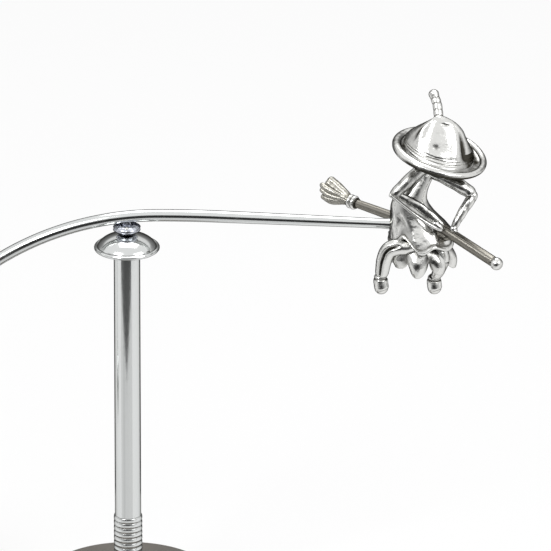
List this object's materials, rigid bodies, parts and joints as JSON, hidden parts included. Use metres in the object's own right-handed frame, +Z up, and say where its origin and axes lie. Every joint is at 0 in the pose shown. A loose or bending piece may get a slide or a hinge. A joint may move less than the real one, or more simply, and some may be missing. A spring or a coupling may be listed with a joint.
{
  "type": "balancing witch figure",
  "caption": "Balancing witch on a broom: a curved beam carries the cast figure and a counterweight ball, rocking and turning on a post with a domed cap and a round base.",
  "frame": {"origin": "middle of the base's underside", "axes": "+Z up the post, +X along the beam towards the figure at rest"},
  "size_m": [0.2439, 0.063, 0.2013],
  "materials": {
    "polished_metal": "mirror polished",
    "cast_metal": "polished casting, darker in the hollows",
    "broom_metal": "brushed lengthwise",
    "plain_steel": "plain steel",
    "dark_base": "satin dark grey",
    "bearing_bronze": "turned",
    "felt": "felt"
  },
  "bodies": {
    "stand": {"felt_pad": "felt", "base_disc": "dark_base", "base_washer": "plain_steel", "base_screw": "plain_steel", "post_plug": "plain_steel", "post_tube": "polished_metal", "ribbed_collar": "polished_metal", "dome_cap": "polished_metal", "pivot_bush": "bearing_bronze", "thrust_ball": "plain_steel"},
    "swivel": {"pivot_hub": "polished_metal", "cross_pin": "plain_steel"},
    "beam": {"beam_rod": "polished_metal", "beam_lug": "polished_metal", "counterweight_ball": "polished_metal", "counterweight_screw": "plain_steel", "dress": "cast_metal", "underskirt": "cast_metal", "head": "cast_metal", "hat": "cast_metal", "hat_tip": "cast_metal", "right_arm": "cast_metal", "left_arm": "cast_metal", "right_leg": "cast_metal", "left_leg": "cast_metal", "right_boot": "cast_metal", "left_boot": "cast_metal", "broom_handle": "broom_metal", "broom_ferrule": "cast_metal", "broom_bristles": "cast_metal", "broom_knob": "cast_metal"}
  },
  "joints": [
    {"name": "spin", "type": "hinge", "parent": "stand", "child": "swivel", "pos_m": [0, 0, 0.13], "axis": [0, 0, 1], "continuous": true},
    {"name": "rock", "type": "hinge", "parent": "swivel", "child": "beam", "pos_m": [0, 0, 0.1475], "axis": [0, 1, 0], "range_deg": [-8, 8]}
  ]
}
